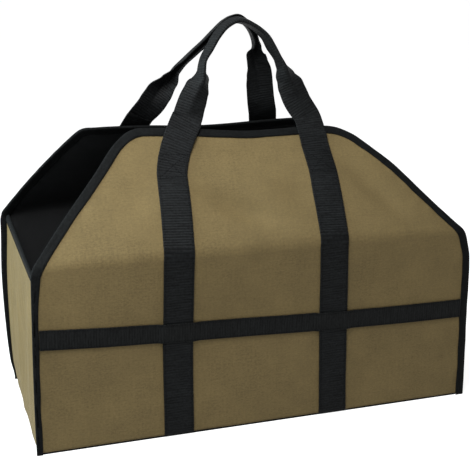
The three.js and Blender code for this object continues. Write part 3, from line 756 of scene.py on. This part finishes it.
def thread_material(name, base):
    """Twisted sewing thread."""
    material, tree, shader = new_material(name)
    across, along, _ = flat_coordinates(tree)
    phase = total(tree, [(across, 1000.0), (along, 9000.0)])
    strand = maths(tree, "ABSOLUTE", maths(tree, "SINE", phase))
    # The strands are painted lighter on their tops and darker between them, a painted shade.
    shade = maths(tree, "MULTIPLY_ADD", strand, 0.6, -0.4)
    coloured(tree, shader, base, [(shade, 1.0)])
    bumped(tree, shader, [(strand, 1.0)], 0.0001, 0.5)
    constants(shader, {"Roughness": 0.8, "Specular IOR Level": 0.03})
    return material


def floor_material(name, base, glow):
    material, tree, shader = new_material(name)
    source = tree.nodes.new("ShaderNodeTexCoord")
    cloud = noise_at(tree, source.outputs["Object"], 1.4, detail=2.0)
    coloured(tree, shader, base, [(cloud, 0.02)])
    constants(shader, {
        "Roughness": 0.9,
        "Specular IOR Level": 0.1,
        "Emission Color": (1, 1, 1, 1),
        "Emission Strength": glow,
    })
    return material


CANVAS = canvas_material("olive_canvas", (0.083, 0.061, 0.026), 0.8, 1.0, 0.1)
LINING = canvas_material("black_coating", (0.0062, 0.0066, 0.007), 0.56, 0.5, 0.25)
TAPE = tape_material("black_tape", (0.0034, 0.0037, 0.0038))
WEBBING = webbing_material("black_webbing", (0.0032, 0.0036, 0.0038), 0.0034, 0.01975)
BAND = webbing_material("black_band", (0.003, 0.0033, 0.0033), 0.0034, 0.013)
# The thread's colour is a little lighter than the webbing's and the tape's, a painted sheen.
THREAD = thread_material("black_thread", (0.0036, 0.004, 0.0042))


def placed(piece, slot, *nodes):
    """Sets a piece on the frame and hides the solids that it stands for. The slot is not used."""
    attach(piece, "root")
    if nodes:
        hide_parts(*nodes)
    return piece


# The panels
def panel_runs(side):
    edge = outline(side)
    radius = max(side["corners"])
    corner_start = min(top_corner(side, hand)[2] for hand in (-1, 1))
    start_angle = math.asin((corner_start - (edge["top"] - radius)) / radius)
    below, round_fold, above, round_corner = PANEL_ROWS
    angles = np.linspace(start_angle, math.pi / 2, round_corner)[1:]
    fold = edge["shoulder"] + FOLD_RISE / 2
    reach = FOLD_RADIUS + FOLD_RISE
    return np.concatenate([
        np.linspace(0, fold - reach, below)[:-1],
        np.linspace(fold - reach, fold + reach, round_fold)[:-1],
        np.linspace(fold + reach, corner_start, above),
        edge["top"] - radius * (1 - np.sin(angles)),
    ])


def make_panel(side):
    runs = panel_runs(side)[:, None]
    share = np.linspace(-1, 1, PANEL_COLUMNS)
    across = share * width_at(side, share, runs)
    half = CLOTH_THICKNESS / 2
    faces = [turned(side, over_cloth(side, across, runs, out)) for out in (half, -half)]
    name = f"{side['name']}_panel"
    piece = shell(f"{name}_canvas", *faces, joined(across, runs), [CANVAS, LINING])
    return placed(piece, "canvas", name)


# The tape folded over an edge, as (inside, outside) points round its section
def tape_section(width=BINDING_WIDTH):
    nose_centre = 1.0
    round_over, round_down = 0.35, 0.4
    free_edge = width - EDGE_ALLOWANCE
    angles = np.linspace(math.pi / 2, 3 * math.pi / 2, 13)
    straight = np.linspace(free_edge - round_over, nose_centre, 6)[:-1]
    outer = [(free_edge, TAPE_OUTSIDE - round_down)]
    outer += [(inside, TAPE_OUTSIDE) for inside in straight]
    nose_reach = nose_centre + EDGE_ALLOWANCE
    outer += [
        (nose_centre + nose_reach * math.cos(a), TAPE_OUTSIDE * math.sin(a)) for a in angles
    ]
    outer += [(inside, -TAPE_OUTSIDE) for inside in straight[::-1]]
    outer += [(free_edge, -TAPE_OUTSIDE + round_down)]
    inner_reach = nose_centre + SEWN_GAP
    inner = [(free_edge, -TAPE_INSIDE), (nose_centre, -TAPE_INSIDE)]
    inner += [
        (nose_centre + inner_reach * math.cos(a), TAPE_INSIDE * math.sin(a))
        for a in angles[1:-1][::-1]
    ]
    inner += [(nose_centre, TAPE_INSIDE), (free_edge, TAPE_INSIDE)]
    return np.array(outer + inner)


def edge_path(side):
    """The panel's edge from the floor on the right, over the flap, to the floor on the left."""
    runs = panel_runs(side)
    right = joined(half_width(side, runs, 1), runs)
    left = joined(-half_width(side, runs, -1), runs)[::-1]
    top = np.linspace(right[-1], left[0], 90)[1:-1]
    path = np.concatenate([right, top, left])
    path[[0, -1], 1] -= HEM_HEIGHT
    along = np.gradient(path, axis=0)
    return path, unit(along)


def make_edge_binding(side):
    path, along = edge_path(side)
    section = tape_section()
    length = run_along(path)
    ripple = sum(tall * np.sin(length / long + start) for tall, long, start in TAPE_RIPPLE)
    inside, outside = section.T
    low = 1 - smooth(path[:, 1] / side["shoulder"], 0.75, 1)
    pull = side["tape_pull"] * low * (path[:, 0] < 0)
    inside = inside + (ripple - pull)[:, None] * (inside > BINDING_WIDTH / 3)
    across = path[:, :1] - along[:, 1:] * inside
    run = path[:, 1:] + along[:, :1] * inside
    rings = turned(side, over_cloth(side, across, run, outside))
    cloth = joined(run_along(section), length[:, None])
    name = side["name"]
    placed(loft(f"{name}_edge_tape", rings, cloth, [TAPE]), "binding", f"{name}_edge_binding")
    thread = Thread()
    seam = BINDING_WIDTH - EDGE_ALLOWANCE - TAPE_SEAM_INSET - pull
    line_across = path[:, 0] - along[:, 1] * seam
    line_run = np.maximum(path[:, 1] + along[:, 0] * seam, -HEM_HEIGHT + 1)
    for face in (1, -1):
        thread.sew_on(side, line_across, line_run, face * TAPE_OUTSIDE, face)
    thread.make(f"{name}_edge_stitches", "binding")


def between_tapes(side, run, hand):
    """How far from the middle a piece between the two side tapes ends, below the shoulder."""
    pull = side["tape_pull"] if hand < 0 else 0
    return half_width(side, run, hand) + EDGE_ALLOWANCE - BINDING_WIDTH - SEWN_GAP + pull


def make_hem_binding(side):
    """The folded tape that is turned under the base, as a flat U with its round fold outwards."""
    left, right = (between_tapes(side, 0, hand) for hand in (-1, 1))
    high = (HEM_HEIGHT - SEWN_GAP) / 2
    half_slot, slot_start = 0.12, 3
    angles = np.linspace(math.pi / 2, 3 * math.pi / 2, 9)
    round_nose = [(high * 0.8 * (1 + math.cos(a)), high * math.sin(a)) for a in angles]
    section = [(BINDING_WIDTH, high)] + round_nose + [(BINDING_WIDTH, -high)]
    section += [(BINDING_WIDTH, -half_slot), (slot_start, -half_slot)]
    section += [(slot_start, half_slot), (BINDING_WIDTH, half_slot)]
    section = np.array(section)
    across = np.linspace(-left, right, 200)
    rings = joined(across[:, None], section[:, 0] - BODY_DEPTH / 2, high + section[:, 1])
    rings = turned(side, rings)
    cloth = joined(section[:, 0], across[:, None])
    name = side["name"]
    placed(loft(f"{name}_hem_tape", rings, cloth, [TAPE]), "binding", f"{name}_hem_binding")


# The straps and handles
def strap_middle(side, strap, run):
    edge = outline(side)
    knee_share, bend = 0.6, 1.5
    foot, fold, knee, top = strap
    low = np.clip(run / edge["shoulder"], 0, 1) ** 2
    climb = np.maximum((run - edge["shoulder"]) / edge["flap_length"], 0)
    knee_climb = np.minimum(climb / knee_share, 1)
    last_climb = np.maximum((climb - knee_share) / (1 - knee_share), 0)
    lower = mix(foot, fold, low) + (knee - fold) * knee_climb
    return side["strap_shift"] + STRAP_SPACING / 2 * (lower + (top - knee) * last_climb**bend)


def strap_standoff(side, run):
    """How far over the cloth's middle layer the webbing's middle lies."""
    edge = outline(side)
    step_length, step_margin = 14, 3
    plain = TAPE_INSIDE + WEBBING_THICKNESS / 2
    raised = TAPE_OUTSIDE + SEWN_GAP + WEBBING_THICKNESS / 2
    start = edge["top"] - BINDING_WIDTH - step_margin - step_length
    lift_from, lift_to, lift_height = 34, 8, 1.6
    lift = lift_height * smooth(run, edge["top"] - lift_from, edge["top"] - lift_to)
    return mix(plain, raised, np.clip((run - start) / step_length, 0, 1)) + lift


def webbing_section(fold, width=WEBBING_WIDTH, thickness=WEBBING_THICKNESS):
    """The webbing's outline across its width, folded along its middle by a share of closing.
    Returns (across, outside) points and each point's place across the flat webbing."""
    half, round_edge = width / 2, 0.5
    inner_places = np.linspace(0, half - round_edge, 16)
    place = np.concatenate([inner_places, [half - 0.2, half - 0.05, half]])
    angle = fold * math.pi / 2 * smooth(place, 0, thickness + GRIP_TIP_GAP)
    lean = (angle[1:] + angle[:-1]) / 2
    across = np.concatenate([[0], np.cumsum(np.diff(place) * np.cos(lean))])
    drop = np.concatenate([[0], np.cumsum(np.diff(place) * np.sin(lean))])
    from_edge = np.clip((half - place) / round_edge, 0, 1)
    thick = thickness / 2 * np.sqrt(1 - (1 - from_edge) ** 2) * 0.98 + 0.02
    outer = joined(across + thick * np.sin(angle), -drop + thick * np.cos(angle))
    inner = joined(across - thick * np.sin(angle), -drop - thick * np.cos(angle))
    flip = np.array([-1, 1])
    ring = np.concatenate([outer[::-1] * flip, outer[1:], inner[::-1], inner[1:] * flip])
    flat = np.concatenate([-place[::-1], place[1:], place[::-1], -place[1:]])
    ring[:, 1] += drop[-1] / 2
    return ring, flat


def curve_through(points):
    """A centripetal curve through points, as a function of the place counted in points."""
    points = np.asarray(points)
    ends = [2 * points[0] - points[1], *points, 2 * points[-1] - points[-2]]

    def at(place):
        span = min(int(place), len(points) - 2)
        share = place - span
        p0, p1, p2, p3 = ends[span:span + 4]
        d0, d1, d2 = (math.sqrt(np.linalg.norm(b - a)) for a, b in ((p0, p1), (p1, p2), (p2, p3)))
        start = ((p1 - p0) / d0 - (p2 - p0) / (d0 + d1) + (p2 - p1) / d1) * d1
        end = ((p2 - p1) / d1 - (p3 - p1) / (d1 + d2) + (p3 - p2) / d2) * d1
        bent = -3 * p1 + 3 * p2 - 2 * start - end
        return p1 + share * (start + share * (bent + share * (2 * p1 - 2 * p2 + start + end)))

    return at


def strap_rings(side, strap, facing):
    """Rings of one strap on the cloth, from the hem to where it leaves the flap."""
    edge = outline(side)
    section, flat = webbing_section(0)
    runs = np.linspace(0, edge["top"] + CLEAR_OF_FLAP, int(edge["top"] / RING_STEP))
    drift = strap_middle(side, strap, runs + 0.5) - strap_middle(side, strap, runs - 0.5)
    tilt = np.arctan(drift)[:, None]
    across = strap_middle(side, strap, runs)[:, None] + facing * section[:, 0] * np.cos(tilt)
    up = np.maximum(runs[:, None] - facing * section[:, 0] * np.sin(tilt), 0)
    outside = strap_standoff(side, runs)[:, None] + section[:, 1]
    return over_cloth(side, across, up, outside), joined(flat, runs[:, None])


def handle_rings(side):
    """Rings of the handle, which start in the flap's plane, turn upright and fold in half."""
    edge = outline(side)
    _, inward, top_height = profile(side, edge["top"])
    reach = BODY_DEPTH / 2 - inward

    def on_flap(strap, past):
        run = edge["top"] + past
        middle = strap_middle(side, strap, run)
        return over_cloth(side, middle, run, strap_standoff(side, run))

    free = [
        np.array([across * STRAP_SPACING / 2, -depth * reach, top_height + rise * HANDLE_RISE])
        for across, depth, rise, _ in side["handle"]
    ]
    up, down = side["straps"]
    route = [on_flap(up, 0), on_flap(up, CLEAR_OF_FLAP), *free]
    route += [on_flap(down, CLEAR_OF_FLAP), on_flap(down, 0)]
    folds = np.array([0, 0, *[row[3] for row in side["handle"]], 0, 0], float)
    last = len(route) - 1
    curve = curve_through(route)
    dense = np.linspace(1, last - 1, 400)
    length = run_along(np.array([curve(place) for place in dense]))
    count = int(length[-1] / RING_STEP)
    places = np.interp(np.linspace(0, length[-1], count + 1), length, dense)
    flap_normal = cloth_normal(side, 0.0, edge["top"])
    front = np.array([0, -1, 0])
    rings, cloth = [], []
    for i, place in enumerate(places[1:-1]):
        span = min(int(place), last - 1)
        share = place - span
        fold = mix(folds[span], folds[span + 1], share * share * (3 - 2 * share))
        centre = curve(place)
        along = unit(curve(place + 0.01) - curve(place - 0.01))
        flap_share = np.clip(1 - (min(place, last - place) - 1) / 2, 0, 1)
        facing = mix(front, flap_normal, flap_share)
        outward = unit(facing - facing.dot(along) * along)
        right = np.cross(along, outward)
        section, flat = webbing_section(fold)
        rings.append(centre + section[:, :1] * right + section[:, 1:] * outward)
        run = edge["top"] + CLEAR_OF_FLAP + (i + 1) * RING_STEP
        cloth.append(joined(flat, run))
    return np.array(rings), np.array(cloth)


def make_carry_strap(side):
    up, down = side["straps"]
    up_rings, up_cloth = strap_rings(side, up, 1)
    handle, handle_cloth = handle_rings(side)
    down_rings, down_cloth = strap_rings(side, down, -1)
    rings = turned(side, np.concatenate([up_rings, handle, down_rings[::-1]]))
    cloth = np.concatenate([up_cloth, handle_cloth, down_cloth[::-1]])
    name = side["name"]
    piece = loft(f"{name}_strap_webbing", rings, cloth, [WEBBING])
    placed(piece, "webbing", f"{name}_carry_strap")
    thread = Thread()
    high = outline(side)["top"] - BOX_STITCH_DROP
    low = high - BOX_STITCH_HEIGHT
    half = WEBBING_WIDTH / 2 - STRAP_SEAM_INSET
    seams = [(at, FIRST_STITCH, at, high, 240) for at in (-half, half)]
    seams += [
        (-half, high, half, high, 40), (-half, low, half, low, 40),
        (-half, low, half, high, 40), (-half, high, half, low, 40),
    ]
    for strap in side["straps"]:
        for start, start_run, end, end_run, points in seams:
            part = np.linspace(0, 1, points)
            runs = mix(start_run, end_run, part)
            across = strap_middle(side, strap, runs) + mix(start, end, part)
            surface = strap_standoff(side, runs) + WEBBING_THICKNESS / 2
            thread.sew_on(side, across, runs, surface)
    thread.make(f"{name}_strap_stitches", "webbing")


# The band across a panel
def band_raise(side, across):
    """0 where the band lies on the canvas and 1 where it lies over a strap."""
    ramp = 9
    raised = np.zeros_like(across)
    for strap in side["straps"]:
        off = np.abs(across - strap_middle(side, strap, BAND_HEIGHT)) - WEBBING_WIDTH / 2
        raised = np.maximum(raised, 1 - smooth(off, 0, ramp))
    return raised


def make_band(side):
    runs = BAND_HEIGHT - HEM_HEIGHT + np.array([-0.5, 0, 0.5]) * (BAND_WIDTH + BAND_SAG)
    left, right = (np.min(between_tapes(side, runs, hand)) for hand in (-1, 1))
    across = np.linspace(-left, right, BAND_STATIONS)
    section, flat = webbing_section(0, BAND_WIDTH, BAND_THICKNESS)
    share = across / PANEL_HALF_WIDTH
    middle = BAND_HEIGHT - HEM_HEIGHT - side["band_drop"] * share - BAND_SAG * (1 - share**2)
    low = TAPE_INSIDE + BAND_THICKNESS / 2
    stand = low + (WEBBING_THICKNESS + SEWN_GAP) * band_raise(side, across)
    run = middle[:, None] - section[:, 0]
    outside = stand[:, None] + section[:, 1]
    rings = turned(side, over_cloth(side, across[:, None] + 0 * run, run, outside))
    cloth = joined(flat, across[:, None])
    name = side["name"]
    placed(loft(f"{name}_band_webbing", rings, cloth, [BAND]), "webbing", f"{name}_band")
    thread = Thread()
    seam = BAND_WIDTH / 2 - BAND_SEAM_INSET
    for offset in (-seam, seam):
        thread.sew_on(side, across, middle + offset, stand + BAND_THICKNESS / 2)
    thread.make(f"{name}_band_stitches", "webbing")


# The ends and the base, one strip of canvas
def end_reach(side, hand, stand, height):
    """How far the strip reaches to a side's inner face, where it stands so far from the middle."""
    run = np.maximum(height - HEM_HEIGHT, 0)
    lean, inward, _ = profile(side, run)
    tape_lean = TAPE_OUTSIDE * (1 - np.cos(lean)) / np.cos(lean)
    return INNER_FACE - inward + bulge(side, hand * stand, run) - tape_lean - LAYER_GAP


def end_depth_at(sign, share, height):
    front = end_reach(FRONT, sign, end_stand(sign, -1, height), height)
    back = end_reach(BACK, -sign, end_stand(sign, 1, height), height)
    return mix(-front, back, (share + 1) / 2)


def end_top_at(share):
    low, high = FRONT["shoulder"] - END_TOP_DROP, BACK["shoulder"]
    return mix(low, high, (share + 1) / 2) - EDGE_ALLOWANCE


END_SLACK = {-1: waves(11, 8, 22, 70), 1: waves(12, 8, 22, 70)}


def end_stand(sign, share, height):
    """How far an end stands from the middle, with its upright creases."""
    climb = height / max(FRONT["shoulder"], BACK["shoulder"])
    run = np.maximum(height - HEM_HEIGHT, 0)
    front_edge, back_edge = half_width(FRONT, run, sign), half_width(BACK, run, -sign)
    edge = mix(front_edge, back_edge, (share + 1) / 2) + EDGE_ALLOWANCE
    seam_inset = mix(SEAM_INSET_AT_SHOULDER, BACK_SEAM_INSET, (share + 1) / 2)
    inset = mix(SEAM_INSET_AT_FLOOR, seam_inset, np.sqrt(np.clip(climb, 0, 1)))
    crease = 0
    for along, wide, middle, tall, depth in END_CREASES:
        fade = np.exp(-(((climb - middle) / tall) ** 2))
        crease = crease + CREASE_DEPTH * depth * fade * np.exp(-(((share - along) / wide) ** 2))
    slant = 26 * share + 6 * np.sin(height / 60)
    fine = END_SLACK_DEPTH * np.abs(END_SLACK[sign](slant * 6, height * 0.35)) ** 0.8
    crease = crease - fine * smooth(climb, 0.02, 0.3)
    crease = crease * (1 - share**4) * (1 - smooth(climb, 0.7, 0.94))
    return edge - inset - CLOTH_THICKNESS / 2 + crease


def floor_height(share):
    tape_share = 1 - (BINDING_WIDTH + LAYER_GAP) / INNER_FACE
    rise = smooth(np.abs(share), tape_share - 0.1, tape_share)
    return CLOTH_THICKNESS / 2 + HEM_HEIGHT * rise


def make_ends_and_base():
    near_edge, inner = END_COLUMNS
    share = np.concatenate([
        np.linspace(-1, -0.8, near_edge)[:-1],
        np.linspace(-0.8, 0.8, inner),
        np.linspace(0.8, 1, near_edge)[1:],
    ])
    low = floor_height(share) + FLOOR_CORNER_RADIUS

    def floor_end(sign):
        return end_stand(sign, share, low) - FLOOR_CORNER_RADIUS

    def wall(sign):
        lines = []
        for climb in np.linspace(0, 1, WALL_ROWS):
            height = mix(low, end_top_at(share), climb)
            stand = end_stand(sign, share, height)
            lines.append(joined(sign * stand, end_depth_at(sign, share, height), height))
        return lines

    def corner(sign):
        lines = []
        for angle in np.linspace(0, math.pi / 2, 12)[1:-1]:
            out = sign * (floor_end(sign) + FLOOR_CORNER_RADIUS * math.sin(angle))
            height = low - FLOOR_CORNER_RADIUS * math.cos(angle)
            lines.append(joined(out, end_depth_at(sign, share, low), height))
        return lines

    depth = end_depth_at(1, share, np.zeros_like(share))
    floor = [
        joined(mix(-floor_end(-1), floor_end(1), part), depth, floor_height(share))
        for part in np.linspace(0, 1, FLOOR_ROWS)
    ]
    lines = wall(-1)[::-1] + corner(-1)[::-1] + floor + corner(1) + wall(1)
    middle = np.array(lines)
    along = np.gradient(middle, axis=0)
    across = np.gradient(middle, axis=1)
    normal = unit(np.cross(along, across))
    run = run_along(middle[:, len(share) // 2])
    cloth = joined(share * BODY_DEPTH / 2, run[:, None])
    half = CLOTH_THICKNESS / 2
    outer, inner = middle - normal * half, middle + normal * half
    piece = shell("ends_and_base_canvas", outer, inner, cloth, [CANVAS, LINING])
    return placed(piece, "canvas", "ends_and_base")


def make_end_binding(name, sign):
    section = tape_section(END_BINDING_WIDTH)
    share = np.linspace(-1, 1, TAPE_STATIONS)[:, None]
    top = end_top_at(share)
    height = top - section[:, 0]
    depth_height = np.maximum(top + EDGE_ALLOWANCE, height)
    out = sign * (end_stand(sign, share, height) + section[:, 1])
    rings = joined(out, end_depth_at(sign, share, depth_height), height)
    cloth = joined(run_along(section), share * BODY_DEPTH / 2)
    placed(loft(f"{name}_end_tape", rings, cloth, [TAPE]), "binding", f"{name}_end_binding")
    thread = Thread()
    seam = END_BINDING_WIDTH - EDGE_ALLOWANCE - TAPE_SEAM_INSET
    part = share[3:-3, 0]
    line_height = end_top_at(part) - seam
    for face in (1, -1):
        stand = end_stand(sign, part, line_height) + face * TAPE_OUTSIDE
        line = joined(sign * stand, end_depth_at(sign, part, line_height), line_height)
        normals = np.tile([sign * face, 0.0, 0.0], (len(part), 1))
        thread.sew(line, normals)
    thread.make(f"{name}_end_stitches", "binding")


for side in (FRONT, BACK):
    make_panel(side)
    make_edge_binding(side)
    make_hem_binding(side)
    make_carry_strap(side)
    make_band(side)
strip = make_ends_and_base()
make_end_binding("left", -1)
make_end_binding("right", 1)

# Faces that point out, whichever way a piece's drawing was turned
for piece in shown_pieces():
    if piece.type == "MESH" and piece.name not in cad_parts:
        bpy.context.view_layer.objects.active = piece
        bpy.ops.object.mode_set(mode="EDIT")
        bpy.ops.mesh.select_all(action="SELECT")
        bpy.ops.mesh.normals_make_consistent(inside=False)
        bpy.ops.object.mode_set(mode="OBJECT")

# The floor, the light and the camera
FLOOR_SIZE = 60
FLOOR_GLOW = 0.88
WORLD_LIGHT = 0.46
bpy.ops.mesh.primitive_plane_add(size=FLOOR_SIZE)
floor = bpy.context.object
floor.name = "studio_floor"
floor.data.materials.append(floor_material("pale_floor", (0.25, 0.25, 0.25), FLOOR_GLOW))

world = bpy.data.worlds.new("studio")
bpy.context.scene.world = world
world.use_nodes = True
constants(world.node_tree.nodes["Background"], {"Color": (1, 1, 1, 1), "Strength": WORLD_LIGHT})


def look_from(made, place, way):
    """Puts a lamp or the camera in its place, looking a given way."""
    bpy.context.collection.objects.link(made)
    made.location = place
    made.rotation_mode = "QUATERNION"
    made.rotation_quaternion = way.to_track_quat("-Z", "Y")


def area_light(name, place, aim, size, power, colour=(1, 1, 1)):
    lamp = bpy.data.lights.new(name, "AREA")
    lamp.color = colour
    lamp.shape = "SQUARE"
    lamp.size = size
    lamp.energy = power
    made = bpy.data.objects.new(name, lamp)
    made.visible_camera = False
    look_from(made, place, Vector(aim) - Vector(place))


area_light("key_light", (-0.42, -0.52, 1.2), (0, 0, 0.2), 0.6, 28)
area_light("side_light", (-1.5, 0.1, 0.9), (-0.3, 0, 0.15), 0.9, 62, (0.82, 0.96, 1))

CAMERA_AZIMUTH = math.radians(-18.56)
CAMERA_ELEVATION = math.radians(14.85)
CAMERA_DISTANCE = 1.41869
CAMERA_TARGET = Vector((0.00237, 0, 0.22645))
SENSOR_WIDTH = 36
FOCAL_PIXELS = 1016.44
PICTURE_WIDTH = 470
lens = bpy.data.cameras.new("photo_camera")
lens.sensor_width = SENSOR_WIDTH
lens.lens = FOCAL_PIXELS / PICTURE_WIDTH * SENSOR_WIDTH
camera = bpy.data.objects.new("photo_camera", lens)
back_way = Vector((
    math.sin(CAMERA_AZIMUTH) * math.cos(CAMERA_ELEVATION),
    -math.cos(CAMERA_AZIMUTH) * math.cos(CAMERA_ELEVATION),
    math.sin(CAMERA_ELEVATION),
))
look_from(camera, CAMERA_TARGET + back_way * CAMERA_DISTANCE, -back_way)
bpy.context.scene.camera = camera
bpy.context.scene.view_settings.view_transform = "Standard"
bpy.context.scene.view_settings.look = "None"
